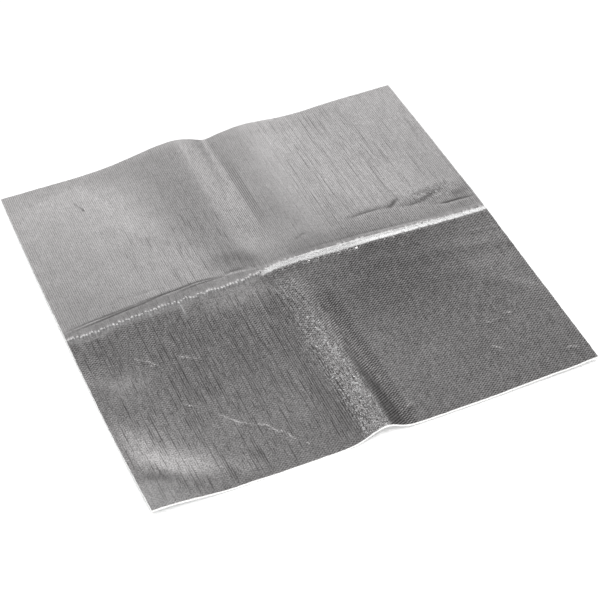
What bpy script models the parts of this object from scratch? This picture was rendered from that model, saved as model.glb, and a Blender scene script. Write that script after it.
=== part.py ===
"""Foil-faced folding sleeping pad: a thin square laminate with two soft creases that cross.

Metres, +Z up. The origin is the centre of the pad's outline, on the surface it lies on. +X runs along
the long crease, +Y away from the user. The laminate is four layers: an aluminised film on a woven cloth,
a foam core and a backing fleece. The long crease runs along X at CREASE_Y and divides the pad into a
south and a north row. A wide soft crease along Y, here called the spine, divides each row into a west
panel, a spine and an east panel. Every panel keeps the waves that folding has left in it.
"""

import math

import bmesh
import bpy
from mathutils import Vector

# Driving dimensions, in metres
SIDE = 0.500
HALF = SIDE / 2
EDGE_BOW = 0.003  # how far the west and east edges bow outward at their middles
CREASE_Y = 0.008  # the long crease isn't quite in the middle
SPINE_WEST = -0.015  # the spine's two fold lines
SPINE_EAST = 0.022
GAP = 0.0003  # between neighbouring solids

# The laminate, from the floor up: name, bottom height above the pad's underside, thickness
LAYERS = {
    "backing_fleece": (0.0000, 0.0004),
    "foam_core": (0.0007, 0.0014),
    "carrier_cloth": (0.0024, 0.0003),
    "foil_face": (0.0030, 0.0002),
}

# Joint axes: how high each fold's axis lies above the floor
LONG_FOLD_Z = 0.0150
SPINE_WEST_Z = 0.0140
SPINE_EAST_Z = 0.0114

# Each panel: its row, its column, a point on the axis of the fold that moves it, and the panel that it
# folds on. The south-west panel lies still.
PANELS = {
    "south_west": ("south", "west", Vector((0.0, 0.0, 0.0)), None),
    "south_spine": ("south", "spine", Vector((SPINE_WEST, 0.0, SPINE_WEST_Z)), "south_west"),
    "south_east": ("south", "east", Vector((SPINE_EAST, 0.0, SPINE_EAST_Z)), "south_spine"),
    "north_west": ("north", "west", Vector((0.0, CREASE_Y, LONG_FOLD_Z)), "south_west"),
    "north_spine": ("north", "spine", Vector((0.0, CREASE_Y, LONG_FOLD_Z)), "south_spine"),
    "north_east": ("north", "east", Vector((0.0, CREASE_Y, LONG_FOLD_Z)), "south_east"),
}

# The north row folds inside the south one, so its panels stop this far from the spine
NORTH_WEST_RELIEF = 0.0105
NORTH_EAST_RELIEF = 0.0175

# Waves, heights above the floor
SETTLE = 0.0004  # waves lower than this lie flat on the floor
MIX_DEPTH = 0.040  # how far from the long crease each row's own waves are fully formed
CREASE_HEIGHT = 0.0055  # of the long crease, at its ends and where it crosses the spine
CREASE_ARCH = 0.0057  # how much higher it stands between them
SOUTH_REACH = 0.200  # how far from the long crease the pad comes down to the floor
NORTH_REACH = 0.235

# Mesh density of one panel
PANEL_COLUMNS = 10
PANEL_ROWS = 7
SPINE_COLUMNS = 6
EDGE_CROWDING = 1.7  # above 1, grid lines crowd towards the spine and the long crease

COLOURS = {
    "backing_fleece": ((0.80, 0.80, 0.78, 1.0), 0.95, 0.0),
    "foam_core": ((0.90, 0.90, 0.89, 1.0), 0.85, 0.0),
    "carrier_cloth": ((0.70, 0.70, 0.69, 1.0), 0.90, 0.0),
    "foil_face": ((0.62, 0.61, 0.60, 1.0), 0.35, 1.0),
}


def smoothstep(value, start, end):
    """0 before start, 1 past end, and a smooth rise between them."""
    t = min(max((value - start) / (end - start), 0.0), 1.0)
    return t * t * (3 - 2 * t)


def swell(x, centre, height, west, east):
    """A rounded ridge along Y, with its own reach on either side."""
    reach = west if x < centre else east
    return height * math.exp(-(((x - centre) / reach) ** 2) / 2)


def north_wave(x):
    """Height of the north edge: a ridge, a narrow valley, a lower ridge and a lifted corner."""
    ridge = swell(x, -0.038, 0.0150, 0.046, 0.024)
    valley = swell(x, 0.003, 0.0028, 0.007, 0.007)
    second = swell(x, 0.052, 0.0095, 0.030, 0.034)
    return ridge - valley + second + 0.0060 * smoothstep(x, 0.060, 0.190)


def south_wave(x):
    """Height of the south edge: one sharp ridge, and the east side slightly raised."""
    ridge = swell(x, 0.002, 0.0158, 0.017, 0.014)
    plateau = 0.0030 * smoothstep(x, 0.000, 0.040) + 0.0027 * smoothstep(x, 0.110, 0.210)
    return ridge + plateau


def corner_curl(x, y):
    """How far the two south corners curl off the floor."""
    near_south = smoothstep(-y, 0.120, 0.250)
    return near_south * (0.0110 * smoothstep(-x, 0.150, 0.245) + 0.0020 * smoothstep(x, 0.215, 0.250))


def long_crease(x, y):
    """Height of the tent that the long crease makes: low at the outline and at the spine, arched between."""
    off_spine = smoothstep(-x, 0.025, 0.060) if x < 0 else smoothstep(x, 0.032, 0.067)
    crest = CREASE_HEIGHT + CREASE_ARCH * off_spine * smoothstep(-abs(x), -0.250, -0.130)
    from_crease = y - CREASE_Y
    reach = NORTH_REACH if from_crease > 0 else SOUTH_REACH
    return crest * max(1 - abs(from_crease) / reach, 0.0)


def relief(x, y):
    """Height of the pad's underside above the floor. It is exactly 0 where the pad lies flat."""
    north_share = smoothstep(y - CREASE_Y, -MIX_DEPTH, MIX_DEPTH)
    wave = north_share * north_wave(x) + (1 - north_share) * south_wave(x)
    height = (wave**3 + long_crease(x, y) ** 3) ** (1 / 3) + corner_curl(x, y)
    return max(height - SETTLE, 0.0)


def bowed(x, y):
    """Moves a point outward near the bowed west and east edges."""
    return x + EDGE_BOW * (x / HALF) * abs(x / HALF) * (1 - (y / HALF) ** 2)


def spaced(start, end, count, crowding=1.0):
    """count + 1 places from start to end, crowded towards start."""
    return [start + (end - start) * (i / count) ** crowding for i in range(count + 1)]


def draped_slab(name, layer, xs, ys, axis_point):
    """One layer of one panel: a flat grid is given its thickness and draped over the waves."""
    bottom, thickness = LAYERS[layer]
    bm = bmesh.new()
    columns, rows = len(xs) - 1, len(ys) - 1
    bmesh.ops.create_grid(bm, x_segments=columns, y_segments=rows, size=1.0)
    for v in bm.verts:
        v.co.x = xs[round((v.co.x + 1) / 2 * columns)]
        v.co.y = ys[round((v.co.y + 1) / 2 * rows)]
        v.co.z = bottom
    bmesh.ops.triangulate(bm, faces=bm.faces[:])
    grown = bmesh.ops.extrude_face_region(bm, geom=bm.faces[:])["geom"]
    for v in grown:
        if isinstance(v, bmesh.types.BMVert):
            v.co.z += thickness
    for v in bm.verts:
        x, y = v.co.x, v.co.y
        v.co.z += relief(x, y)
        v.co.x = bowed(x, y)
        v.co -= axis_point
    bmesh.ops.recalc_face_normals(bm, faces=bm.faces[:])
    mesh = bpy.data.meshes.new(name)
    bm.to_mesh(mesh)
    bm.free()
    mesh.materials.append(material_of(layer))
    mesh.shade_smooth()
    return bpy.data.objects.new(name, mesh)


def material_of(layer):
    """The layer's Principled material, made once."""
    found = bpy.data.materials.get(layer)
    if found:
        return found
    colour, roughness, metallic = COLOURS[layer]
    material = bpy.data.materials.new(layer)
    material.use_nodes = True
    shader = material.node_tree.nodes["Principled BSDF"]
    shader.inputs["Base Color"].default_value = colour
    shader.inputs["Roughness"].default_value = roughness
    shader.inputs["Metallic"].default_value = metallic
    return material


def fold_axis(name, place, parent, collection):
    """An empty on a fold's axis, which carries everything that the fold moves."""
    axis = bpy.data.objects.new(name, None)
    axis.empty_display_size = 0.02
    axis.location = place - (PANELS[parent][2] if parent else Vector((0.0, 0.0, 0.0)))
    axis.parent = bpy.data.objects[f"{parent}_axis"] if parent else None
    collection.objects.link(axis)
    return axis


def column_lines(row, column):
    """The X grid lines of one column of panels."""
    west_relief = NORTH_WEST_RELIEF if row == "north" else GAP / 2
    east_relief = NORTH_EAST_RELIEF if row == "north" else GAP / 2
    if column == "west":
        return spaced(SPINE_WEST - west_relief, -HALF, PANEL_COLUMNS, EDGE_CROWDING)[::-1]
    if column == "east":
        return spaced(SPINE_EAST + east_relief, HALF, PANEL_COLUMNS, EDGE_CROWDING)
    return spaced(SPINE_WEST + GAP / 2, SPINE_EAST - GAP / 2, SPINE_COLUMNS)


def row_lines(row):
    """The Y grid lines of one row of panels, from south to north."""
    if row == "north":
        return spaced(CREASE_Y + GAP / 2, HALF, PANEL_ROWS, EDGE_CROWDING)
    return spaced(CREASE_Y - GAP / 2, -HALF, PANEL_ROWS, EDGE_CROWDING)[::-1]


def build_pad():
    for obj in list(bpy.data.objects):
        bpy.data.objects.remove(obj)
    pad = bpy.data.collections.new("foil_faced_sleeping_pad")
    bpy.context.scene.collection.children.link(pad)
    for panel, (row, column, place, parent) in PANELS.items():
        axis = fold_axis(f"{panel}_axis", place, parent, pad)
        for layer in LAYERS:
            slab = draped_slab(f"{layer}_{panel}", layer, column_lines(row, column), row_lines(row), place)
            slab.parent = axis
            pad.objects.link(slab)


build_pad()
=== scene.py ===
"""Looks of the foil-faced sleeping pad: four thin layers draped over the waves that folding has left.

Metres, +Z up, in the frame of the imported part. Places along the pad in lists, patches and strokes are in
millimetres and are scaled by MM. Each layer is three columns, west, spine and east, that run the whole
length of the pad and bend across the long crease. All columns read the same height functions, so that
their edges meet without a step.
"""

import math

import bpy
import numpy as np
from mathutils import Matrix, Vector


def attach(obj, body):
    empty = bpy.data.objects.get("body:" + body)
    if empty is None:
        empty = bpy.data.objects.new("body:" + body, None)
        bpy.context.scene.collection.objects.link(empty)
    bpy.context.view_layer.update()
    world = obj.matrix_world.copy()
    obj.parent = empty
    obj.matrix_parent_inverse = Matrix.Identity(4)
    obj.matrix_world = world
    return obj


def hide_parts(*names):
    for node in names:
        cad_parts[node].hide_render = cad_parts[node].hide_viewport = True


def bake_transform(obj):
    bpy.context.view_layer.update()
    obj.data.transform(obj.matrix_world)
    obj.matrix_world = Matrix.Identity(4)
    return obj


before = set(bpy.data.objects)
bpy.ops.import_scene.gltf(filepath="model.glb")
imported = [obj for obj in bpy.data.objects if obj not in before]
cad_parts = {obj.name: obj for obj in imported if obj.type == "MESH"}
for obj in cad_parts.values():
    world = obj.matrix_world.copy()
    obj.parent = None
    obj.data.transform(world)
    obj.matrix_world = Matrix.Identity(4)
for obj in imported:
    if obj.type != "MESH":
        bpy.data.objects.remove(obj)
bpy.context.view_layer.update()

# Driving sizes, the same as the CAD part's
MM = 0.001
SIDE = 0.500
HALF = SIDE / 2
EDGE_BOW = 0.003
CREASE_Y = 0.008
SPINE_WEST = -0.015
SPINE_EAST = 0.022
SETTLE = 0.0004
MIX_DEPTH = 0.040
CREASE_HEIGHT = 0.0055
CREASE_ARCH = 0.0057
SOUTH_REACH = 0.200
NORTH_REACH = 0.235

# The waves that run along Y: where along X, height, reach to the west, reach to the east
NORTH_RIDGE = (-0.038, 0.0150, 0.046, 0.024)
NORTH_VALLEY = (0.003, 0.0028, 0.007, 0.007)
NORTH_LOW_RIDGE = (0.052, 0.0095, 0.030, 0.034)
SOUTH_RIDGE = (0.002, 0.0158, 0.017, 0.014)
NORTH_EAST_LIFT = 0.0060
SOUTH_EAST_LIFTS = (0.0030, 0.0027)  # beside the ridge, and again towards the east edge
WEST_CURL = 0.0110  # how high the south-west corner curls up
EAST_CURL = 0.0020

# The layers, from the floor up: bottom and top above the pad's underside
LAYERS = {
    "backing_fleece": (0.00002, 0.00050),
    "foam_core": (0.00052, 0.00240),
    "carrier_cloth": (0.00242, 0.00278),
    "foil_face": (0.00280, 0.00320),
}
COLUMNS = {
    "west": (-HALF, SPINE_WEST, "south_west", "north_west"),
    "spine": (SPINE_WEST, SPINE_EAST, "south_spine", "north_spine"),
    "east": (SPINE_EAST, HALF, "south_east", "north_east"),
}
FLAP = 0.0056  # how far a column reaches on, out of sight, inside its neighbour
FLAP_INSET = 0.00030  # how far the faces of the film's and the backing's flaps are drawn in

# The cloth that shows through the film
RIB = SIDE / 220
WEFT = 0.0032  # two threads across the ribs
RIB_HEIGHT = 0.00005

# Grids: the film has four columns to a rib. Rows are closer together in the zone of the long crease, and
# are given as the number south of it, the number north of it and the step inside it.
FILM_COLUMN = RIB / 4
LAYER_COLUMN = 0.004
CREASE_ZONE = (-0.012, 0.028)
FILM_ROWS = (94, 76, 0.0010)
LAYER_ROWS = (48, 44, 0.0020)
FILM_SKIP = 8  # the film's lower side has one column for this many of its upper side

SEED = 20

# The crest of the long crease as it wanders, in millimetres: x, y
CREST_EAST = ((5, 15), (36, 13.5), (70, 9.5), (110, 5.5), (150, 2.5), (252, 2))
CREST = ((-252, -1), (-158, 1), (-110, 2), (-60, 5), (-27, 9.5), *CREST_EAST)
# Where the pad really turns over: along two dark lines in the west, on the crest in the east
RIDGE = ((-252, 11), (-188, 15.5), (-119, 18), (-66, 20), (-40, 19), (-10, 16), *CREST_EAST)
CREST_ROUNDING = 0.016  # both paths are averaged over this distance to either side
FACET_TILT = math.radians(12.5)  # of the bright north face of the crest's east part
FACET_SHOULDER = 0.030  # how far the pad takes to recover on either side of that face

# Strokes on the film
STROKE_LIMIT = 248  # in millimetres: strokes along the ribs stop short of the cut edges
SHORTEST_STREAK = 4  # in millimetres: shorter pieces of a streak are left out
STREAK_RIDGE_WIDTH = 0.0007
STREAK_GROOVE_WIDTH = 0.00056
LOWEST_RELIEF = -0.00030  # the film keeps some thickness
HIGHEST_RELIEF = 0.00110

# Colours of the film
FILM_DULL = (0.605, 0.59, 0.59, 1.0)
FILM_BRIGHT = (0.665, 0.65, 0.65, 1.0)
FILM_GRAIN = (0.97, 0.95, 0.95, 1.0)
# A near-white painted highlight for the crest's bright north face, its chain, three marks and a corner
FILM_PAINTED_HIGHLIGHT = (0.97, 0.97, 0.97, 1.0)
# Painted glints on the crumpled facets
FILM_PAINTED_GLINT = (0.98, 0.98, 0.98, 1.0)
# Painted shade on crumpled facets that face away from the light
FILM_FACET_SHADE = (0.10, 0.095, 0.095, 1.0)
# The darkest tone: the painted shade of grooves, creases and the weave, and the dark specks of the grain
FILM_DARK = (0.056, 0.052, 0.052, 1.0)

# The camera: what it looks at, its direction as azimuth and elevation, and how far away it stands
CAMERA_TARGET = Vector((0.0002, -0.0406, 0.0035))
CAMERA_DIRECTION = (180 + 24.09, 45.85)
CAMERA_DISTANCE = 1.8204


# ---------------- the waves


def smoothstep(value, start, end):
    """0 before start, 1 past end, and a smooth rise between them."""
    t = np.clip((value - start) / (end - start), 0.0, 1.0)
    return t * t * (3 - 2 * t)


def swell(x, centre, height, west, east):
    """A rounded ridge along Y, with its own reach on either side."""
    reach = np.where(x < centre, west, east)
    return height * np.exp(-(((x - centre) / reach) ** 2) / 2)


def north_wave(x, fading):
    """Height of the north row: a ridge, a narrow valley, a lower ridge and a lifted east side."""
    ridges = swell(x, *NORTH_RIDGE) * fading + swell(x, *NORTH_LOW_RIDGE) * fading
    valley = swell(x, *NORTH_VALLEY) * smoothstep(fading, 0.60, 1.00)
    return ridges - valley + NORTH_EAST_LIFT * smoothstep(x, 0.060, 0.190)


def south_wave(x, fading):
    """Height of the south row: one sharp ridge, and the east side slightly raised."""
    ridge = swell(x, *SOUTH_RIDGE) * fading
    beside_ridge, towards_edge = SOUTH_EAST_LIFTS
    plateau = beside_ridge * smoothstep(x, 0.000, 0.040) + towards_edge * smoothstep(x, 0.110, 0.210)
    return ridge + plateau


def corner_curl(x, y):
    """The two south corners curl up, ever steeper towards the edge."""
    nearness = np.clip((-y - 0.120) / 0.130, 0, 1)
    near_south = 0.5 * smoothstep(-y, 0.120, 0.250) + 0.5 * nearness**1.6
    curls = WEST_CURL * smoothstep(-x, 0.150, 0.245) + EAST_CURL * smoothstep(x, 0.215, 0.250)
    return near_south * curls


def long_crease(x, from_crease):
    """Height of the tent that the long crease makes: low at the outline and at the spine, arched between."""
    off_spine = np.where(x < 0, smoothstep(-x, 0.005, 0.110), smoothstep(x, 0.010, 0.120))
    crest = CREASE_HEIGHT + CREASE_ARCH * off_spine * smoothstep(-np.abs(x), -0.250, -0.130)
    reach = np.where(from_crease > 0, NORTH_REACH, SOUTH_REACH)
    steepening = np.where(from_crease > 0, 1.0, 1.5)
    return crest * np.maximum(1 - np.abs(from_crease) / reach, 0.0) ** steepening


def crest_place(x, path=CREST):
    """How far north the crest of the long crease lies at x: its path, with the corners rounded off."""
    knots = np.array(path) * MM
    steps = np.linspace(-CREST_ROUNDING, CREST_ROUNDING, 9)
    return sum(np.interp(x + step, knots[:, 0], knots[:, 1]) for step in steps) / len(steps)


def underside(x, y):
    """Height of the pad's underside above the floor.

    It is the CAD part's, but the tent follows the ridge's wander and the waves fade towards the long crease.
    """
    wander = (crest_place(x, RIDGE) - CREASE_Y) * (1 - smoothstep(np.abs(y - CREASE_Y), 0.020, 0.090))
    y_straight = y - wander
    north_share = smoothstep(y_straight - CREASE_Y, -MIX_DEPTH, MIX_DEPTH)
    north_fading = 0.46 + 0.54 * np.clip(y / 0.240, 0, 1)
    south_fading = 0.30 + 0.72 * smoothstep(-y, 0.000, 0.285)
    wave = north_share * north_wave(x, north_fading) + (1 - north_share) * south_wave(x, south_fading)
    tent = long_crease(x, y_straight - CREASE_Y)
    height = np.cbrt(wave**3 + tent**3) + corner_curl(x, y)
    return np.maximum(height - SETTLE, 0.0)


def bowed(x, y):
    """Moves a point outward near the bowed west and east edges."""
    return x + EDGE_BOW * (x / HALF) * np.abs(x / HALF) * (1 - (y / HALF) ** 2)


# ---------------- noise and small forms


def noise(x, y, cell_x, cell_y, seed):
    """Smooth noise from -1 to 1, with its own cell size along X and along Y. Each seed is another pattern."""
    u, v = x / cell_x + 512.3, y / cell_y + 512.7
    i, j = np.floor(u).astype(int), np.floor(v).astype(int)
    s, t = u - i, v - j
    s = s**3 * (s * (s * 6 - 15) + 10)
    t = t**3 * (t * (t * 6 - 15) + 10)
    table = np.random.default_rng(SEED + seed).uniform(-1, 1, (1024, 1024))
    a, b = table[i % 1024, j % 1024], table[(i + 1) % 1024, j % 1024]
    c, d = table[i % 1024, (j + 1) % 1024], table[(i + 1) % 1024, (j + 1) % 1024]
    return a + (b - a) * s + (c - a) * t + (a - b - c + d) * s * t


def patch(x, y, place, reach):
    """A round soft mask, 1 at place. Place and reach are in millimetres."""
    across = (x / MM - place[0]) / reach[0]
    along = (y / MM - place[1]) / reach[1]
    return np.exp(-(across**2 + along**2) / 2)


def window(value, start, end, fade):
    """1 from start to end, with a soft shoulder of fade at each end."""
    return smoothstep(value, start - fade, start + fade) * (1 - smoothstep(value, end - fade, end + fade))


def distance_along(points, x, y):
    """Each place's distance from a line of points in millimetres, and its share of the way along it."""
    points = np.array(points, float) * MM
    lengths = np.hypot(*np.diff(points, axis=0).T)
    nearest = np.full(np.shape(x), np.inf)
    along = np.zeros(np.shape(x))
    passed = 0.0
    for start, end, length in zip(points[:-1], points[1:], lengths):
        run = (end - start) / length
        share = np.clip((x - start[0]) * run[0] + (y - start[1]) * run[1], 0, length)
        away = np.hypot(x - start[0] - share * run[0], y - start[1] - share * run[1])
        along = np.where(away < nearest, (passed + share) / lengths.sum(), along)
        nearest = np.minimum(nearest, away)
        passed += length
    return nearest, along


def beside(points, width, x, y):
    """A soft mask along a line of points, 1 on the line. Points and width are in millimetres."""
    away, _ = distance_along(points, x, y)
    return np.exp(-((away / (width * MM)) ** 2) / 2)


class Canvas:
    """The film's height and its painted shade along grooves and creases, on a grid of lines."""

    def __init__(self, xs, ys):
        self.xs = xs
        self.ys = ys
        self.height = np.zeros((len(ys), len(xs)))
        self.dark = np.zeros((len(ys), len(xs)))

    def stroke(self, points, width, rise=0.0, dark=0.0):
        """A thin ridge or groove along a line of points, thinning out towards both ends.

        The points are in millimetres, the width and the rise in metres. Dark is painted shade along the line.
        """
        corners = np.array(points, float) * MM
        low, high = corners.min(0) - 4 * width, corners.max(0) + 4 * width
        columns = slice(*np.searchsorted(self.xs, (low[0], high[0])))
        rows = slice(*np.searchsorted(self.ys, (low[1], high[1])))
        x, y = np.meshgrid(self.xs[columns], self.ys[rows])
        if not x.size:
            return
        nearest, along = distance_along(points, x, y)
        strength = np.sin(np.pi * np.clip(along, 0.02, 0.98)) ** 0.5 * np.exp(-((nearest / width) ** 2) / 2)
        self.height[rows, columns] += rise * strength
        self.dark[rows, columns] = np.maximum(self.dark[rows, columns], dark * strength)

    def streaks(self, random, count, region, lengths, rise, dark, upright):
        """Thin ridges, and grooves between ribs darkened with painted shade, spread over a region in
        millimetres.

        Upright is the share of ridges.
        """
        x_low, x_high, y_low, y_high = region
        for _ in range(count):
            rib_number = round(random.uniform(x_low, x_high) * MM / RIB)
            y = random.uniform(y_low, y_high)
            half = random.uniform(*lengths) / 2
            strength = random.uniform(0.45, 1.0)
            is_ridge = random.uniform() < upright
            x = (rib_number + 0.5 * is_ridge) * RIB / MM
            low, high = max(y - half, -STROKE_LIMIT), min(y + half, STROKE_LIMIT)
            if high - low < SHORTEST_STREAK:
                continue
            line = ((x, low), (x, high))
            if is_ridge:
                self.stroke(line, STREAK_RIDGE_WIDTH, rise * strength)
            else:
                self.stroke(line, STREAK_GROOVE_WIDTH, -rise * strength, dark * strength)


# ---------------- the film's own relief


def soft_undulation(x, y):
    """Broad shallow dents that the whole pad has, and every layer follows."""
    broad = 0.00045 * noise(x, y, 0.095, 0.110, 1)
    middle = 0.00016 * noise(x, y, 0.040, 0.055, 2)
    return broad + middle


def facet_width(x):
    """Width of the crest's bright north face, widest a little east of the spine."""
    ragged = 0.0007 * noise(x, x * 0, 0.011, 1.0, 13)
    places = (-0.030, 0.010, 0.045, 0.120, 0.250)
    widths = (0.0055, 0.0085, 0.0115, 0.0100, 0.0060)
    return np.interp(x, places, widths) + ragged


def facet(x, south):
    """The sharp fold of the long crease's east part: it rises to a crest, drops northward and recovers."""
    width = facet_width(x)
    drop = width * math.tan(FACET_TILT) * smoothstep(x, -0.034, -0.004)
    before = np.clip(1 + (south + width / 2) / FACET_SHOULDER, 0, 1)
    after = np.clip(1 - (south - width / 2) / FACET_SHOULDER, 0, 1)
    across = 0.5 - np.clip(south / width + 0.5, 0, 1)
    shoulder = np.where(south < 0, before**2, after**2)
    return drop * np.where(np.abs(south) < width / 2, across, np.sign(-south) * 0.5 * shoulder)


def pad_height(x, y):
    """Height of the pad's underside with its dents. Every layer follows it."""
    inside = smoothstep(HALF - np.abs(y), 0.0, 0.030) * smoothstep(HALF - np.abs(x), 0.0, 0.020)
    fold = facet(x, y - crest_place(x)) * (0.5 + 0.5 * inside)
    soft = soft_undulation(x, y) * (0.35 + 0.65 * inside)
    for points, width, rise in SOFT_SWELLS:
        soft = soft + rise * MM * beside(points, width, x, y)
    return np.maximum(underside(x, y) + fold + soft, 0.0)


def stitch_chain(canvas):
    """The crest's west part: a chain of little puckers, with pinches between them darkened with painted
    shade.
    """
    random = np.random.default_rng(SEED + 1)
    x, east_end = -248.0, -24.0
    while x < east_end:
        y = float(crest_place(x * MM)) / MM + random.uniform(-1.4, 1.4)
        size = random.uniform(0.5, 1.0)
        lean = random.uniform(-0.5, 1.2)
        half = 3.3 * size
        canvas.stroke(((x, y - half), (x + lean, y + half)), 0.0010, 0.00090 * size)
        pinch = x + 1.7
        canvas.stroke(((pinch, y - 3.0), (pinch + lean, y + 2.6)), 0.0007, -0.00020, 0.75)
        x += random.uniform(2.7, 4.3)


def draw_curved_crease(canvas, points, random):
    """A faint curved ridge, with brighter dashes where the film is pinched."""
    canvas.stroke(points, 0.0009, 0.00018)
    corners = np.array(points, float)
    for _ in range(3 * len(points)):
        segment = random.integers(len(points) - 1)
        share = random.uniform(0.0, 0.9)
        run = corners[segment + 1] - corners[segment]
        start = corners[segment] + share * run + random.uniform(-0.8, 0.8, 2)
        end = start + run / np.hypot(*run) * random.uniform(2.5, 6.0)
        canvas.stroke((start, end), 0.0008, 0.00055 * random.uniform(0.5, 1.0))


def fray_facet(canvas):
    """Small puckers along both sides of the bright north face, and nicks across it darkened with painted
    shade.
    """
    random = np.random.default_rng(SEED + 2)
    pucker_count, nick_count = 190, 150
    west_end, east_end = -26, 246
    for _ in range(pucker_count):
        x = random.uniform(west_end, east_end)
        half = float(facet_width(np.array(x * MM))) / MM / 2
        south_side = random.uniform() < 0.72
        reach = random.uniform(0, 3.2) if x < 90 else random.uniform(0, 1.6)
        y = float(crest_place(x * MM)) / MM + (-half - reach if south_side else half + 0.3 * reach)
        size = random.uniform(0.5, 1.0)
        canvas.stroke(((x, y - 1.6 * size), (x + 0.8, y + 1.6 * size)), 0.0007, 0.00050 * size)
    for _ in range(nick_count):
        x = random.uniform(west_end, east_end)
        y = float(crest_place(x * MM)) / MM + random.uniform(-4.5, 4.5)
        size = random.uniform(0.4, 1.0)
        canvas.stroke(((x, y - 2.0 * size), (x + 0.6, y + 2.0 * size)), 0.0006, -0.00012, 0.75 * size)


def plain_share(x, y):
    """Where the ribs don't show: beside the long crease and on a few smooth patches."""
    south = y - crest_place(x)
    west = window(south, -0.0060 - 0.004 * noise(x, x * 0, 0.03, 1.0, 14), 0.0165, 0.003)
    east = window(south, -0.0050, 0.0105, 0.002)
    beside_crease = np.where(x < -0.03, west, east)
    patches = sum(patch(x, y, place, reach) for place, reach in PLAIN_PATCHES)
    return np.clip(beside_crease + 1.1 * patches, 0, 1)


def ribs(x, y):
    """The cloth's ribs along Y, showing through the film, uneven from rib to rib and along each."""
    rounded = np.abs(np.sin(np.pi * x / RIB))
    uneven = 0.75 + 0.45 * noise(x, y, RIB * 1.5, 0.022, 21)
    return RIB_HEIGHT * rounded * uneven * (1 - 0.85 * plain_share(x, y))


def ridge_flank(x):
    """1 on the west flank of the south ridge."""
    return window(x, -0.022, 0.008, 0.006)


def crumple_share(x, y):
    """Where the film is crumpled into small facets: the crest and the west flank of the south ridge."""
    south = y - crest_place(x)
    flank = ridge_flank(x) * (1 - smoothstep(y, -0.020, 0.006)) * (1 - 0.60 * smoothstep(y, -0.17, -0.04))
    half_width = facet_width(x) / 2
    crest = window(south, -half_width, half_width, 0.0012) * smoothstep(x, -0.036, -0.010)
    ragged = window(x, -0.022, 0.090, 0.020) * window(south, -0.012, 0.003, 0.003)
    cloud = window(x, 0.176, 0.236, 0.016) * window(y, 0.040, 0.062, 0.008)
    return np.clip(flank * 0.9 + crest * 0.35 + ragged * 0.6 + cloud * 0.45, 0, 1)


def bright_share(x, y):
    """Where a highlight is painted near white and the film is a little smoother: the crest's north face, its
    chain, three marks and a corner.
    """
    south = y - crest_place(x)
    half_width = facet_width(x) / 2
    face = window(south, -half_width, half_width, 0.0016) * smoothstep(x, -0.034, -0.012)
    chain = window(south, -0.0028, 0.0028, 0.0012) * (1 - smoothstep(x, -0.040, -0.028))
    marks = sum(0.55 * beside(points, width, x, y) for points, width, _ in BRIGHT_MARKS)
    corner = 0.28 * patch(x, y, (-240, -236), (26, 15))
    return np.clip(face + 0.35 * chain + marks + corner, 0, 1)


def crumples(x, y):
    """Small sharp facets: folded noise has creases where it turns."""
    first = 1 - np.abs(noise(x, y, 0.0030, 0.0044, 31)) * 2
    second = 1 - np.abs(noise(x + y * 0.4, y, 0.0060, 0.0080, 32)) * 2
    return 0.00012 * first + 0.00010 * second


def line_share(x, y):
    """How strongly the painted shade of the long dark lines between ribs shows."""
    south_west = window(x, -0.235, -0.010, 0.030) * window(y, -0.240, -0.006, 0.012)
    beside_ridge = window(x, -0.050, -0.014, 0.010) * window(y, -0.240, -0.004, 0.012)
    north_west = window(x, -0.190, -0.030, 0.050) * window(y, 0.016, 0.150, 0.040)
    north_east = window(x, 0.070, 0.240, 0.030) * window(y, 0.040, 0.240, 0.030)
    return np.clip(0.15 + 0.6 * south_west + 0.3 * beside_ridge + 0.4 * north_west + 0.25 * north_east, 0, 1)


def weave_share(x, y):
    """How strongly the cloth's weave shows as painted shade, partly the cloth showing through: most in the
    south-east and beside the crest.
    """
    south = y - crest_place(x)
    strength = 0.86 + 0.06 * (1 - smoothstep(south, -0.010, 0.004))
    # Painted shade on the steep east flank of the south ridge
    strength = strength + 1.15 * window(x, 0.008, 0.036, 0.008) * smoothstep(-y, 0.02, 0.08)
    strength = strength + 0.30 * window(south, 0.010, 0.042, 0.010) * smoothstep(x, 0.070, 0.120)
    # Painted shade on the east flank of the north ridge and in its valley
    strength = strength + 0.45 * window(x, -0.026, 0.006, 0.008) * smoothstep(y, 0.040, 0.090)
    for amount, place, reach in WEAVE_PATCHES:
        strength = strength + amount * patch(x, y, place, reach)
    flank = ridge_flank(x) * (1 - smoothstep(y, -0.21, -0.10))
    return strength * (1 - 0.9 * plain_share(x, y)) * (1 - 0.5 * flank)


def stagger_share(x, y):
    """Where the weave shows as staggered stitches rather than as unbroken ribs."""
    return 0.25 + 0.75 * (1 - smoothstep(y - crest_place(x), -0.010, 0.004))


# Round patches, as place and reach in millimetres. The weave's have first how much stronger its painted shade
# is there.
PLAIN_PATCHES = (
    ((-66, -12), (32, 11)),
    ((50, 130), (17, 75)),
    ((-214, -80), (16, 14)),
)
WEAVE_PATCHES = (
    (0.50, (70, -45), (85, 50)),
    (-0.42, (-140, -190), (120, 85)),
    (-0.35, (-238, -225), (50, 60)),
    (0.60, (222, 46), (26, 12)),
    (0.40, (150, 44), (50, 8)),
)
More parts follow.
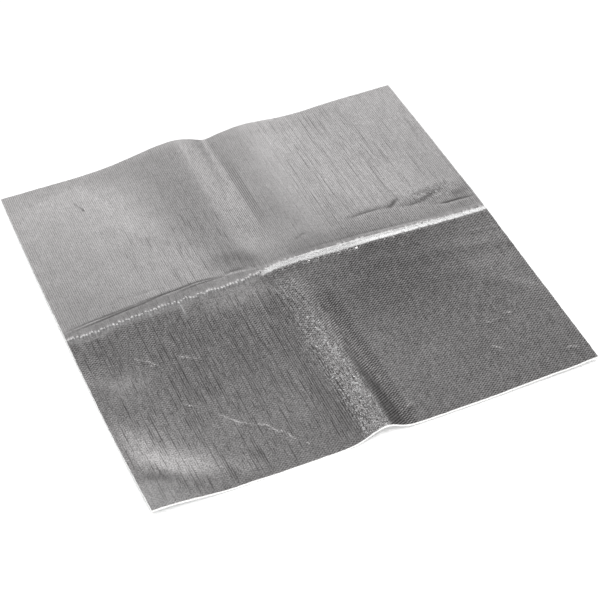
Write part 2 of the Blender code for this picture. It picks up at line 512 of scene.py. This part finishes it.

# Lines of points in millimetres. Wrinkles have a width and a rise in millimetres and a darkness, which is
# painted crease shade; streaks and swells have a width and a rise.
CURVED_CREASES = (
    ((-197, -52), (-187, -60), (-176, -71)),
    ((-155, -67), (-142, -76), (-126, -84)),
    ((-173, -129), (-160, -138)),
    ((-149, -150), (-138, -163), (-127, -176), (-112, -186)),
    ((-112, -186), (-104, -190), (-98, -200), (-90, -206), (-86, -216), (-76, -224), (-74, -236)),
    ((-175, 211), (-171, 200), (-168, 192)),
    ((160, -154), (172, -159), (184, -158)),
    ((188, -152), (198, -157)),
    ((156, -190), (163, -197)),
    ((226, -226), (238, -230)),
    ((20, -234), (34, -232), (48, -224)),
)
DARK_WRINKLES = (
    (((-250, 12.4), (-220, 16), (-188, 16.8), (-155, 18.2)), 0.8, -0.20, 0.75),
    (((-240, 10.5), (-188, 14), (-155, 16), (-119, 19)), 0.9, -0.20, 0.75),
    (((-165, 17.5), (-119, 19.4), (-95, 21.6), (-66, 20.4)), 1.1, -0.22, 0.85),
    (((-119, 15.4), (-95, 18.2), (-60, 19.5)), 0.8, -0.16, 0.65),
    (((-66, 21), (-56, 24), (-44, 24), (-36, 22)), 1.5, -0.16, 0.6),
    (((-205, 28), (-180, 33), (-150, 31), (-128, 27)), 0.9, -0.12, 0.45),
    (((96, 47), (115, 49), (132, 48.5), (148, 46)), 1.9, -0.22, 0.85),
    (((140, 47), (152, 46), (161, 53), (169, 56)), 2.4, -0.24, 0.90),
    (((158, 43), (174, 39.6), (191, 40)), 1.7, -0.18, 0.75),
    (((174, 39), (191, 42), (203, 48), (213, 51), (226, 53)), 3.4, -0.24, 0.75),
    (((180, 52), (200, 56), (226, 60)), 3.0, -0.14, 0.45),
    (((195, 31), (213, 27.5), (228, 27.5), (250, 26)), 1.4, -0.22, 0.95),
    (((222, 34), (236, 38), (249, 42)), 4.0, -0.16, 0.60),
    (((30, 44), (42, 48), (52, 46)), 1.2, -0.12, 0.55),
    (((20, 27), (50, 25), (90, 20), (140, 14), (200, 10)), 0.9, -0.10, 0.35),
    (((232, 110), (238, 160), (239, 205)), 2.4, -0.14, 0.35),
    (((-246, -204), (-227, -214), (-206, -226)), 5.0, -0.20, 0.55),
)
# These marks are ridges, and they also carry a painted highlight through bright_share
BRIGHT_MARKS = (
    (((-158, -1), (-158, -11)), 0.9, 0.42),
    (((-124, 0), (-124, -22)), 0.9, 0.48),
    (((-143, -18), (-143, -24)), 0.7, 0.30),
)
BRIGHT_STREAKS = (
    *BRIGHT_MARKS,
    (((208, -28), (233, -28), (250, -32)), 0.9, 0.26),
)
SOFT_SWELLS = (
    (((30, -14), (110, -30), (180, -42), (246, -54)), 7.0, 0.34),
    (((60, -46), (130, -66), (240, -88)), 9.0, 0.26),
    (((196, -96), (222, -116), (246, -146)), 9.0, 0.45),
    (((-252, -64), (-230, -84), (-200, -100)), 9.0, 0.45),
    (((-264, -80), (-257, -140), (-240, -186), (-206, -218), (-150, -242)), 15.0, 1.90),
)


# Streaks along the ribs: how many, where (x from and to, y from and to), how long, all in millimetres, then
# the rise in metres, the darkness of the grooves' painted shade and the share of ridges
STREAKS = (
    (150, (-248, -20, 20, 248), (12, 60), 0.00007, 0.55, 0.25),
    (130, (-150, -36, 22, 120), (10, 46), 0.00009, 0.75, 0.15),
    (200, (20, 248, 24, 248), (12, 60), 0.00012, 0.60, 0.5),
    (170, (66, 190, 60, 240), (16, 70), 0.00020, 0.70, 0.6),
    (230, (-248, -16, -248, -16), (20, 80), 0.00009, 0.90, 0.12),
    (90, (-170, -60, -130, -28), (20, 60), 0.00012, 1.0, 0.1),
    (90, (-48, -14, -240, -16), (30, 120), 0.00018, 1.0, 0.1),
    (60, (-14, 24, -240, -16), (10, 60), 0.00014, 0.90, 0.3),
    (420, (-27, 5, -246, -14), (5, 15), 0.00034, 0.85, 0.62),
)


def spine_grooves(canvas):
    """Five long grooves on the north part of the spine, darkened with painted shade, each a little shorter
    than the last.
    """
    for step in range(5):
        x = (3 + step) * RIB / MM
        canvas.stroke(((x, 247 - 6 * step), (x, 44 + 5 * step)), 0.00050, -0.00014, 0.85)


def film_canvas(xs, ys):
    """Height of the film above the cloth's level, and its painted shade along grooves and creases."""
    x, y = np.meshgrid(xs, ys)
    canvas = Canvas(xs, ys)
    canvas.height += ribs(x, y) + crumple_share(x, y) * crumples(x, y)
    canvas.height += 0.00003 * noise(x, y, 0.011, 0.020, 3) + 0.000015 * noise(x, y, 0.0040, 0.0070, 4)
    random = np.random.default_rng(SEED)
    spine_grooves(canvas)
    for streaks in STREAKS:
        canvas.streaks(random, *streaks)
    canvas.dark *= 1 - 0.85 * plain_share(x, y)
    stitch_chain(canvas)
    fray_facet(canvas)
    for points in CURVED_CREASES:
        draw_curved_crease(canvas, points, random)
    for points, width, rise, dark in DARK_WRINKLES:
        canvas.stroke(points, width * MM, rise * MM, dark)
    for points, width, rise in BRIGHT_STREAKS:
        canvas.stroke(points, width * MM, rise * MM)
    canvas.height = np.clip(canvas.height, LOWEST_RELIEF, HIGHEST_RELIEF)
    return canvas


# ---------------- meshes


def row_lines(coarse_south, coarse_north, fine):
    """Y grid lines from south to north, closer together in the zone of the long crease."""
    south = np.linspace(-HALF, CREASE_ZONE[0], coarse_south, endpoint=False)
    middle = np.arange(CREASE_ZONE[0], CREASE_ZONE[1], fine)
    north = np.linspace(CREASE_ZONE[1], HALF, coarse_north + 1)
    return np.concatenate([south, middle, north])


def column_lines(start, end, step):
    """X grid lines at whole steps from 0, and at both ends."""
    inner = np.arange(math.ceil(start / step + 0.25), math.floor(end / step - 0.25) + 1) * step
    return np.concatenate([[start], inner, [end]])


def ragged_outline(x, y, seed):
    """Small uneven steps of a cut edge, as offsets along X and along Y."""
    at_side = smoothstep(np.abs(x), HALF - 0.004, HALF)
    at_end = smoothstep(np.abs(y), HALF - 0.004, HALF)
    coarse, fine = 0.00022, 0.00010
    across = coarse * noise(x * 0, y, 1.0, 0.006, seed) + fine * noise(x * 0, y, 1.0, 0.0017, seed + 1)
    along = coarse * noise(x, y * 0, 0.006, 1.0, seed + 2) + fine * noise(x, y * 0, 0.0017, 1.0, seed + 3)
    return across * at_side, along * at_end


def grid_normals(x, y, z):
    """Upward normals of a grid of points, by central differences."""
    along_x = np.stack([np.gradient(v, axis=1) for v in (x, y, z)], axis=-1)
    along_y = np.stack([np.gradient(v, axis=0) for v in (x, y, z)], axis=-1)
    normal = np.cross(along_x, along_y)
    return normal / np.linalg.norm(normal, axis=-1, keepdims=True)


def closed_sheet(name, top, top_normals, bottom, bottom_normals, kept, flat):
    """A closed sheet between two grids of points.

    The lower grid has only the kept columns of the upper one. Flat is each point's place on the pad before it
    is draped, which the materials read.
    """
    rows, columns = top.shape[:2]
    low_columns = len(kept)
    upper = np.arange(rows * columns).reshape(rows, columns)
    lower = upper.size + np.arange(rows * low_columns).reshape(rows, low_columns)
    points = np.concatenate([top.reshape(-1, 3), bottom.reshape(-1, 3)])

    def quads(grid):
        return np.stack([grid[:-1, :-1], grid[:-1, 1:], grid[1:, 1:], grid[1:, :-1]], axis=-1).reshape(-1, 4)

    top_faces = quads(upper)
    bottom_faces = quads(lower)[:, ::-1]
    west = np.stack([upper[:-1, 0], upper[1:, 0], lower[1:, 0], lower[:-1, 0]], axis=-1)
    east = np.stack([upper[:-1, -1], lower[:-1, -1], lower[1:, -1], upper[1:, -1]], axis=-1)
    south, north = [], []
    for cell, (start, end) in enumerate(zip(kept[:-1], kept[1:])):
        south.append([lower[0, cell], lower[0, cell + 1], *upper[0, start : end + 1][::-1]])
        north.append([lower[-1, cell + 1], lower[-1, cell], *upper[-1, start : end + 1]])
    sides = [(west, (-1, 0, 0)), (east, (1, 0, 0)), (south, (0, -1, 0)), (north, (0, 1, 0))]
    normals = np.concatenate([top_normals.reshape(-1, 3), -bottom_normals.reshape(-1, 3)])
    faces = top_faces.tolist() + bottom_faces.tolist()
    corners = [normals[top_faces.ravel()], normals[bottom_faces.ravel()]]
    for side, direction in sides:
        side_faces = [[int(v) for v in face] for face in side]
        faces += side_faces
        corners.append(np.tile(direction, (sum(len(face) for face in side_faces), 1)))
    mesh = bpy.data.meshes.new(name)
    mesh.from_pydata(points.tolist(), [], faces)
    mesh.shade_smooth()
    mesh.normals_split_custom_set(np.concatenate(corners))
    attribute = mesh.attributes.new("flat", "FLOAT_VECTOR", "POINT")
    attribute.data.foreach_set("vector", flat.astype(np.float32).ravel())
    obj = bpy.data.objects.new(name, mesh)
    bpy.context.scene.collection.objects.link(obj)
    return obj


def with_flaps(lines, start, end):
    """Adds lines past a column's edge, for the flap that reaches on inside its neighbour."""
    steps = np.array([0.0001, 0.0020, 0.0040, FLAP])
    if start > -HALF:
        lines = np.concatenate([start - steps[::-1], lines])
    if end < HALF:
        lines = np.concatenate([lines, end + steps])
    return lines


def layer_surfaces(layer, xs, ys, start, end, relief):
    """The upper and lower points of a layer and their normals, on a grid of lines."""
    bottom, top = LAYERS[layer]
    x, y = np.meshgrid(xs, ys)
    base = pad_height(x, y)
    beyond = ((x < start - 1e-6) | (x > end + 1e-6)).astype(float)
    outline_seed = 41 if layer == "foil_face" else 61
    shift_x, shift_y = ragged_outline(x, y, outline_seed)
    px, py = bowed(x, y) + shift_x, y + shift_y
    inset = FLAP_INSET if layer in ("backing_fleece", "foil_face") else 0.0
    upper = base + top + relief
    lower = base + bottom
    upper_normals = grid_normals(px, py, upper)
    lower_normals = grid_normals(px, py, lower)
    upper = upper - beyond * (inset + relief)
    lower = lower + beyond * inset * (layer == "backing_fleece")
    top_points = np.stack([px, py, upper], axis=-1)
    bottom_points = np.stack([px, py, lower], axis=-1)
    return top_points, upper_normals, bottom_points, lower_normals


def make_column(layer, column):
    """One layer of one column, as a closed sheet that bends across the long crease."""
    start, end, south_body, north_body = COLUMNS[column]
    is_film = layer == "foil_face"
    own = column_lines(start, end, FILM_COLUMN if is_film else LAYER_COLUMN)
    xs = with_flaps(own, start, end)
    ys = row_lines(*(FILM_ROWS if is_film else LAYER_ROWS))
    canvas = film_canvas(xs, ys) if is_film else Canvas(xs, ys)
    top, top_normals, bottom, bottom_normals = layer_surfaces(layer, xs, ys, start, end, canvas.height)
    kept = list(range(0, len(xs) - 1, FILM_SKIP if is_film else 1)) + [len(xs) - 1]
    x, y = np.meshgrid(xs, ys)
    level = np.full(x.shape, LAYERS[layer][1])
    upper_flat = np.stack([x, y, level], axis=-1).reshape(-1, 3)
    lower_flat = np.stack([x[:, kept], y[:, kept], level[:, kept] * 0], axis=-1).reshape(-1, 3)
    flat = np.concatenate([upper_flat, lower_flat])
    piece = closed_sheet(
        f"{layer}_{column}", top, top_normals, bottom[:, kept], bottom_normals[:, kept], kept, flat
    )
    if is_film:
        store_shares(piece, flat, np.concatenate([canvas.dark.ravel(), canvas.dark[:, kept].ravel()]))
    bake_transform(piece)
    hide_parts(f"{layer}_{south_body}", f"{layer}_{north_body}")
    return piece


def store_shares(piece, flat, dark):
    """Stores, at each point of the film, what its material needs to know."""
    x, y = flat[:, 0], flat[:, 1]
    # Dark, lined and woven carry painted shade in grooves, creases and the weave; highlight_and_smooth
    # carries a painted highlight and lower roughness; crumpled also sets where glints and facet shade are
    # painted
    shares = {
        "crumpled": crumple_share(x, y),
        "lined": line_share(x, y),
        "woven": weave_share(x, y),
        "dark": dark,
        "highlight_and_smooth": bright_share(x, y),
        "staggered": stagger_share(x, y),
    }
    for name, values in shares.items():
        attribute = piece.data.attributes.new(name, "FLOAT", "POINT")
        attribute.data.foreach_set("value", values.astype(np.float32))


# ---------------- thread ends along the cut edges

# How many thread ends each panel has along its south or north edge, and along its west or east edge. The
# south edge has the most.
THREAD_COUNTS = {
    "south_west": (230, 60),
    "south_spine": (36, 0),
    "south_east": (200, 110),
    "north_west": (60, 60),
    "north_spine": (12, 0),
    "north_east": (60, 90),
}
OFF_CREASE = 0.016  # no thread ends this near the long crease
FIRST_THREAD_SEED = 70


def thread_points(random, x, y, outward):
    """A short thread end that leaves the edge and droops."""
    is_short = random.uniform() < 0.75
    length = random.uniform(0.0008, 0.0022) if is_short else random.uniform(0.0025, 0.0055)
    side = Vector((-outward.y, outward.x, 0.0)) * random.uniform(-0.8, 0.8)
    base = float(pad_height(np.array(x), np.array(y)))
    start = Vector((float(bowed(x, y)), y, base + random.uniform(0.0016, 0.0029)))
    root = 0.0012  # how far inside the edge the thread starts
    start -= outward * root
    points = []
    for step in range(5):
        share = step / 4
        point = start + (outward + side * share) * (length + root) * share
        point.z -= share * share * length * random.uniform(0.1, 0.7)
        point.z = max(point.z, 0.0002)
        points.append(point)
    return points


def tube(points, radius):
    """Vertices and faces of a thin five-sided tapering tube."""
    vertices, faces = [], []
    sides = 5
    for number, point in enumerate(points):
        ahead = points[min(number + 1, len(points) - 1)] - points[max(number - 1, 0)]
        across = ahead.cross(Vector((0.0, 0.0, 1.0))).normalized()
        up = across.cross(ahead).normalized()
        size = radius * (1.0 - 0.55 * number / (len(points) - 1))
        for side in range(sides):
            angle = 2 * math.pi * side / sides
            vertices.append(point + size * (across * math.cos(angle) + up * math.sin(angle)))
    for ring in range(len(points) - 1):
        for side in range(sides):
            a, b = ring * sides + side, ring * sides + (side + 1) % sides
            faces.append((a, b, b + sides, a + sides))
    faces.append(tuple(range(sides))[::-1])
    faces.append(tuple(range(len(vertices) - sides, len(vertices))))
    return vertices, faces


def make_threads(panel, edges, seed):
    """All the thread ends of one panel: edges holds (from, to, outward, count) runs of its outline."""
    random = np.random.default_rng(SEED + seed)
    vertices, faces = [], []
    for start, end, outward, count in edges:
        for _ in range(count):
            share = random.uniform()
            x = start[0] + (end[0] - start[0]) * share
            y = start[1] + (end[1] - start[1]) * share
            points = thread_points(random, x, y, Vector(outward))
            new_vertices, new_faces = tube(points, random.uniform(0.00005, 0.00011))
            faces += [tuple(v + len(vertices) for v in face) for face in new_faces]
            vertices += new_vertices
    mesh = bpy.data.meshes.new(f"thread_ends_{panel}")
    mesh.from_pydata([tuple(v) for v in vertices], [], faces)
    mesh.shade_smooth()
    obj = bpy.data.objects.new(f"thread_ends_{panel}", mesh)
    bpy.context.scene.collection.objects.link(obj)
    mesh.materials.append(thread_material())
    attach(obj, panel)
    return obj


def make_all_threads():
    """The thread ends of each panel, along its south or north edge and along its west or east edge."""
    threads = {}
    y_ranges = {"south": (-HALF, CREASE_Y - OFF_CREASE), "north": (CREASE_Y + OFF_CREASE, HALF)}
    for number, (panel, (end_count, side_count)) in enumerate(THREAD_COUNTS.items()):
        row, column = panel.split("_")
        x_start, x_end, _, _ = COLUMNS[column]
        y_start, y_end = y_ranges[row]
        end_y, outward = (-HALF, (0, -1, 0)) if row == "south" else (HALF, (0, 1, 0))
        edges = [((x_start, end_y), (x_end, end_y), outward, end_count)]
        if side_count:
            side_x, outward = (x_start, (-1, 0, 0)) if column == "west" else (x_end, (1, 0, 0))
            edges.append(((side_x, y_start), (side_x, y_end), outward, side_count))
        threads[panel] = make_threads(panel, edges, FIRST_THREAD_SEED + number)
    return threads


# ---------------- materials


class Nodes:
    """Short ways to add nodes to one material."""

    def __init__(self, name):
        self.material = bpy.data.materials.new(name)
        self.material.use_nodes = True
        self.tree = self.material.node_tree
        self.shader = self.tree.nodes["Principled BSDF"]

    def add(self, kind, inputs, output=0, **settings):
        node = self.tree.nodes.new(kind)
        for name, value in settings.items():
            setattr(node, name, value)
        for key, value in inputs.items():
            self.put(value, node.inputs[key])
        return node.outputs[output]

    def put(self, value, socket):
        if isinstance(value, bpy.types.NodeSocket):
            self.tree.links.new(value, socket)
        else:
            socket.default_value = value

    def math(self, operation, *values):
        return self.add("ShaderNodeMath", dict(enumerate(values)), operation=operation)

    def attribute(self, name, output):
        """A value that a piece's mesh holds at each point."""
        return self.add("ShaderNodeAttribute", {}, output, attribute_name=name)

    def flat(self):
        """The flat place on the pad, in millimetres."""
        place = self.attribute("flat", "Vector")
        return self.add("ShaderNodeVectorMath", {0: place, "Scale": 1000.0}, operation="SCALE")

    def stretched(self, place, x, y, z=1.0):
        return self.add("ShaderNodeVectorMath", {0: place, 1: (x, y, z)}, operation="MULTIPLY")

    def noise(self, place, scale, detail=2.0, roughness=0.5):
        inputs = {"Vector": place, "Scale": scale, "Detail": detail, "Roughness": roughness}
        return self.add("ShaderNodeTexNoise", inputs)

    def spread(self, value, low, high, to_low=0.0, to_high=1.0):
        """Maps value from low..high to to_low..to_high, with both ends held."""
        inputs = {"Value": value, "From Min": low, "From Max": high, "To Min": to_low, "To Max": to_high}
        return self.add("ShaderNodeMapRange", inputs)

    def mix(self, share, first, second):
        inputs = {"Factor": share, 6: first, 7: second}
        return self.add("ShaderNodeMix", inputs, 2, data_type="RGBA")

    def bump(self, height, strength, distance, normal=None):
        inputs = {"Height": height, "Strength": strength, "Distance": distance}
        if normal is not None:
            inputs["Normal"] = normal
        return self.add("ShaderNodeBump", inputs)

    def shade(self, **values):
        for name, value in values.items():
            self.put(value, self.shader.inputs[name.replace("_", " ").title()])


def film_darkening(n, place):
    """The film's painted shade: long dark lines in the grooves between ribs, and its woven stitches darkened,
    partly the cloth showing through.
    """
    lined, woven, staggered = (n.attribute(name, "Fac") for name in ("lined", "woven", "staggered"))
    across = n.add("ShaderNodeSeparateXYZ", {"Vector": place})
    along = across.node.outputs[1]
    rib_count = n.math("MULTIPLY", across, MM / RIB)
    rib_number = n.math("FLOOR", n.math("ADD", rib_count, 0.5))
    rounded = n.math("ABSOLUTE", n.math("SINE", n.math("MULTIPLY", rib_count, math.pi)))
    groove = n.spread(rounded, 0.10, 0.85, 1.0, 0.0)

    # The painted groove shade varies from groove to groove, and more slowly along each
    line_length = 24.0
    lookup = n.add("ShaderNodeCombineXYZ", {0: n.math("MULTIPLY", rib_number, 3.7), 1: along})
    varied = n.noise(n.stretched(lookup, 1.0, 1.0 / line_length), 1.0, 2.0)
    long_lines = n.math("MULTIPLY", n.spread(varied, 0.50, 0.64), lined)
    lines = n.math("MULTIPLY", groove, n.math("MULTIPLY", long_lines, 1.25))

    # The weave's painted shade is staggered dots in the south row and unbroken ribs in the north row
    turn = n.math("SINE", n.math("MULTIPLY", along, 2 * math.pi * MM / WEFT))
    dots = n.math("MULTIPLY", turn, n.math("COSINE", n.math("MULTIPLY", rib_count, math.pi)))
    dots = n.math("MULTIPLY", n.spread(dots, -0.45, 0.55), staggered)
    unbroken = n.math("MULTIPLY", n.math("MULTIPLY", groove, 0.72), n.math("SUBTRACT", 1.25, staggered))
    uneven = n.spread(n.noise(n.stretched(place, 1.0, 0.5), 0.42, 3.0, 0.7), 0.3, 0.7, 0.50, 1.25)
    stitches = n.math("MULTIPLY", n.math("MAXIMUM", dots, unbroken), n.math("MULTIPLY", uneven, woven))
    return lines, stitches


def film_tone(n, place, lines, stitches, crumpled, highlight_and_smooth):
    """The film's colour: dull metal with fine grain, painted shade in grooves, creases and the weave, painted
    glints and painted facet shade where crumpled, and a painted highlight on the crest's bright face.
    """
    dark, staggered = n.attribute("dark", "Fac"), n.attribute("staggered", "Fac")
    tone = n.mix(n.spread(n.noise(place, 0.05, 3.0), 0.3, 0.7), FILM_DULL, FILM_BRIGHT)

    grain = n.noise(n.stretched(place, 1.0, 0.8), 0.85, 2.0, 0.7)
    grain_share = n.spread(staggered, 0.25, 1.0, 0.24, 0.56)
    tone = n.mix(n.math("MULTIPLY", n.spread(grain, 0.50, 0.66), grain_share), tone, FILM_GRAIN)
    tone = n.mix(n.math("MULTIPLY", n.spread(grain, 0.50, 0.34), grain_share), tone, FILM_DARK)

    # Painted shade of grooves, creases and the weave's stitches
    darkness = n.math("MAXIMUM", n.math("MAXIMUM", lines, stitches), dark)
    tone = n.mix(n.spread(darkness, 0.0, 1.0, 0.0, 0.95), tone, FILM_DARK)

    # Painted glints on the crumpled facets
    painted_glints = n.spread(n.noise(n.stretched(place, 1.0, 0.7), 0.50, 2.0, 0.6), 0.54, 0.64)
    tone = n.mix(n.math("MULTIPLY", n.math("MULTIPLY", painted_glints, crumpled), 0.95), tone, FILM_PAINTED_GLINT)
    # Painted shade on crumpled facets that face away from the light
    facet_shade = n.spread(n.noise(n.stretched(place, 0.9, 0.5), 0.60, 2.0, 0.6), 0.45, 0.36)
    tone = n.mix(n.math("MULTIPLY", n.math("MULTIPLY", facet_shade, crumpled), 0.90), tone, FILM_FACET_SHADE)
    # A painted highlight on the crest's bright face, its chain, three marks and a corner
    return n.mix(n.math("MULTIPLY", highlight_and_smooth, 0.85), tone, FILM_PAINTED_HIGHLIGHT)


def film_height(n, place, lines, stitches, crumpled):
    """The film's finest relief in millimetres: sunken marks, speckle, and facets where crumpled."""
    speckle = n.noise(n.stretched(place, 1.0, 0.85), 1.0, 3.0, 0.6)
    facets = n.noise(n.stretched(place, 1.0, 0.6), 1.1, 2.0)
    height = n.math("MULTIPLY", lines, -0.040)
    height = n.math("ADD", height, n.math("MULTIPLY", stitches, -0.020))
    height = n.math("ADD", height, n.math("MULTIPLY", speckle, 0.075))
    return n.math("ADD", height, n.math("MULTIPLY", n.math("MULTIPLY", facets, crumpled), 0.75))


def foil_material():
    """Aluminised film: bright metal, dulled a little, over ribbed cloth, with painted shade along its grooves
    and creases, and small facets.
    """
    n = Nodes("foil_face")
    place = n.flat()
    crumpled, highlight_and_smooth = n.attribute("crumpled", "Fac"), n.attribute("highlight_and_smooth", "Fac")
    lines, stitches = film_darkening(n, place)
    roughness = n.spread(n.noise(n.stretched(place, 0.5, 0.1), 0.7, 3.0), 0.3, 0.7, 0.27, 0.38)
    smoother = n.math("MULTIPLY", n.math("MAXIMUM", crumpled, highlight_and_smooth), 0.09)
    n.shade(
        base_color=film_tone(n, place, lines, stitches, crumpled, highlight_and_smooth),
        metallic=1.0,
        roughness=n.math("SUBTRACT", roughness, smoother),
        normal=n.bump(film_height(n, place, lines, stitches, crumpled), 1.0, MM),
    )
    return n.material


def foam_material():
    """White closed-cell foam: fine pores darkened with painted shade, and slight yellowing."""
    n = Nodes("foam_core")
    place = n.flat()
    pores = n.add("ShaderNodeTexVoronoi", {"Vector": place, "Scale": 2.4}, "Distance")
    patches = n.noise(place, 0.3, 3.0)
    colour = n.mix(patches, (0.84, 0.84, 0.83, 1.0), (0.93, 0.93, 0.92, 1.0))
    # Painted shade in the pores
    colour = n.mix(n.spread(pores, 0.0, 0.16, 0.35, 0.0), colour, (0.55, 0.55, 0.54, 1.0))
    normal = n.bump(n.math("ADD", pores, n.math("MULTIPLY", patches, 0.4)), 0.6, 0.3 * MM)
    n.shade(base_color=colour, roughness=0.82, normal=normal)
    return n.material


def fleece_material():
    """Light grey non-woven backing: tangled fibres, pressed together at a grid of small points."""
    n = Nodes("backing_fleece")
    place = n.flat()
    one_way = n.noise(n.stretched(place, 3.2, 0.35), 1.0, 4.0, 0.6)
    other_way = n.noise(n.stretched(place, 0.4, 3.0), 1.0, 4.0, 0.6)
    fibres = n.math("MAXIMUM", one_way, other_way)
    clouds = n.noise(place, 0.09, 3.0)
    parts = n.add("ShaderNodeSeparateXYZ", {"Vector": place})
    along = parts.node.outputs[1]
    turn = math.pi / 2.4  # the points are 2.4 mm apart along X and along Y
    first = n.math("SINE", n.math("MULTIPLY", n.math("ADD", parts, along), turn))
    second = n.math("SINE", n.math("MULTIPLY", n.math("SUBTRACT", parts, along), turn))
    points = n.spread(n.math("MULTIPLY", first, second), 0.72, 0.92)
    colour = n.mix(n.spread(clouds, 0.3, 0.7), (0.44, 0.44, 0.43, 1.0), (0.52, 0.52, 0.51, 1.0))
    colour = n.mix(n.spread(fibres, 0.45, 0.75, 0.0, 0.6), colour, (0.62, 0.62, 0.61, 1.0))
    colour = n.mix(n.math("MULTIPLY", points, 0.45), colour, (0.30, 0.30, 0.29, 1.0))
    height = n.math("SUBTRACT", fibres, n.math("MULTIPLY", points, 0.6))
    normal = n.bump(height, 0.8, 0.25 * MM)
    n.shade(base_color=colour, roughness=0.95, normal=normal, sheen_weight=0.25)
    return n.material


def cloth_material():
    """The carrier's plain weave, seen only at its cut edge and inside the folds."""
    n = Nodes("carrier_cloth")
    place = n.flat()
    parts = n.add("ShaderNodeSeparateXYZ", {"Vector": place})
    # The weave repeats every 2 mm along X and every 1.4 mm along Y
    warp = n.math("SINE", n.math("MULTIPLY", parts, math.pi))
    weft = n.math("SINE", n.math("MULTIPLY", parts.node.outputs[1], 2 * math.pi / 1.4))
    weave = n.math("MULTIPLY", warp, weft)
    lint = n.noise(place, 1.2, 3.0)
    colour = n.mix(n.spread(weave, -0.6, 0.6), (0.62, 0.62, 0.61, 1.0), (0.84, 0.84, 0.83, 1.0))
    colour = n.mix(n.spread(lint, 0.35, 0.7, 0.0, 0.5), colour, (0.90, 0.90, 0.89, 1.0))
    normal = n.bump(n.math("ADD", weave, lint), 0.7, 0.15 * MM)
    n.shade(base_color=colour, roughness=0.9, normal=normal)
    return n.material


def thread_material():
    """White polyester thread, with the twist of its yarn."""
    found = bpy.data.materials.get("thread_end")
    if found:
        return found
    n = Nodes("thread_end")
    place = n.add("ShaderNodeTexCoord", {}, "Object")
    twist = n.noise(n.stretched(place, 9000.0, 9000.0, 9000.0), 1.0, 2.0)
    colour = n.mix(twist, (0.80, 0.80, 0.79, 1.0), (0.95, 0.95, 0.95, 1.0))
    normal = n.bump(twist, 0.4, 0.03 * MM)
    n.shade(base_color=colour, roughness=0.75, normal=normal)
    return n.material


def floor_material():
    """Plain matt white."""
    n = Nodes("floor")
    n.shade(base_color=(0.97, 0.97, 0.97, 1.0), roughness=0.9)
    return n.material


# ---------------- the pad


def make_pad():
    """All the layers, column by column, with the thread ends on the carrier cloth."""
    makers = {
        "backing_fleece": fleece_material,
        "foam_core": foam_material,
        "carrier_cloth": cloth_material,
        "foil_face": foil_material,
    }
    threads = make_all_threads()
    for layer, make_material in makers.items():
        material = make_material()
        for column, (start, end, south_body, north_body) in COLUMNS.items():
            piece = make_column(layer, column)
            piece.data.materials.append(material)
            if layer == "foam_core":
                continue


# ---------------- floor, light and camera


def make_floor():
    """A plain pale floor."""
    mesh = bpy.data.meshes.new("floor")
    reach, level = 6.0, -0.0004
    corners = [(x * reach, y * reach, level) for x, y in ((-1, -1), (1, -1), (1, 1), (-1, 1))]
    mesh.from_pydata(corners, [], [(0, 1, 2, 3)])
    floor = bpy.data.objects.new("floor", mesh)
    bpy.context.scene.collection.objects.link(floor)
    mesh.materials.append(floor_material())


def direction(azimuth, elevation):
    """A unit vector. Azimuth 0 is +Y, and grows towards +X."""
    a, e = math.radians(azimuth), math.radians(elevation)
    return Vector((math.sin(a) * math.cos(e), math.cos(a) * math.cos(e), math.sin(e)))


def softbox(name, azimuth, elevation, distance, width, height, power):
    """A rectangular light that faces the pad."""
    light = bpy.data.lights.new(name, "AREA")
    light.shape = "RECTANGLE"
    light.size = width
    light.size_y = height
    light.energy = power
    obj = bpy.data.objects.new(name, light)
    towards = direction(azimuth, elevation)
    obj.location = towards * distance
    obj.rotation_euler = towards.to_track_quat("Z", "Y").to_euler()
    bpy.context.scene.collection.objects.link(obj)


def make_light():
    """A low wide softbox behind the pad, which the film mirrors, a high key light and a white surrounding."""
    softbox("back_softbox", azimuth=8, elevation=29, distance=2.6, width=4.0, height=1.15, power=14.2)
    softbox("key_softbox", azimuth=200, elevation=58, distance=2.6, width=2.0, height=2.0, power=95)
    world = bpy.data.worlds.new("studio")
    world.use_nodes = True
    background = world.node_tree.nodes["Background"]
    background.inputs["Color"].default_value = (1.0, 1.0, 1.0, 1.0)
    background.inputs["Strength"].default_value = 0.29
    bpy.context.scene.world = world
    bpy.context.scene.view_settings.view_transform = "Standard"


def make_camera():
    """A long lens, 46 degrees above the pad and 24 degrees to the left of its Y axis."""
    data = bpy.data.cameras.new("camera")
    data.lens = 100.0
    data.sensor_width = 36.0
    data.clip_start = 0.05
    camera = bpy.data.objects.new("camera", data)
    towards = direction(*CAMERA_DIRECTION)
    camera.location = CAMERA_TARGET + towards * CAMERA_DISTANCE
    camera.rotation_euler = towards.to_track_quat("Z", "Y").to_euler()
    bpy.context.scene.collection.objects.link(camera)
    bpy.context.scene.camera = camera


make_floor()
make_pad()
make_light()
make_camera()
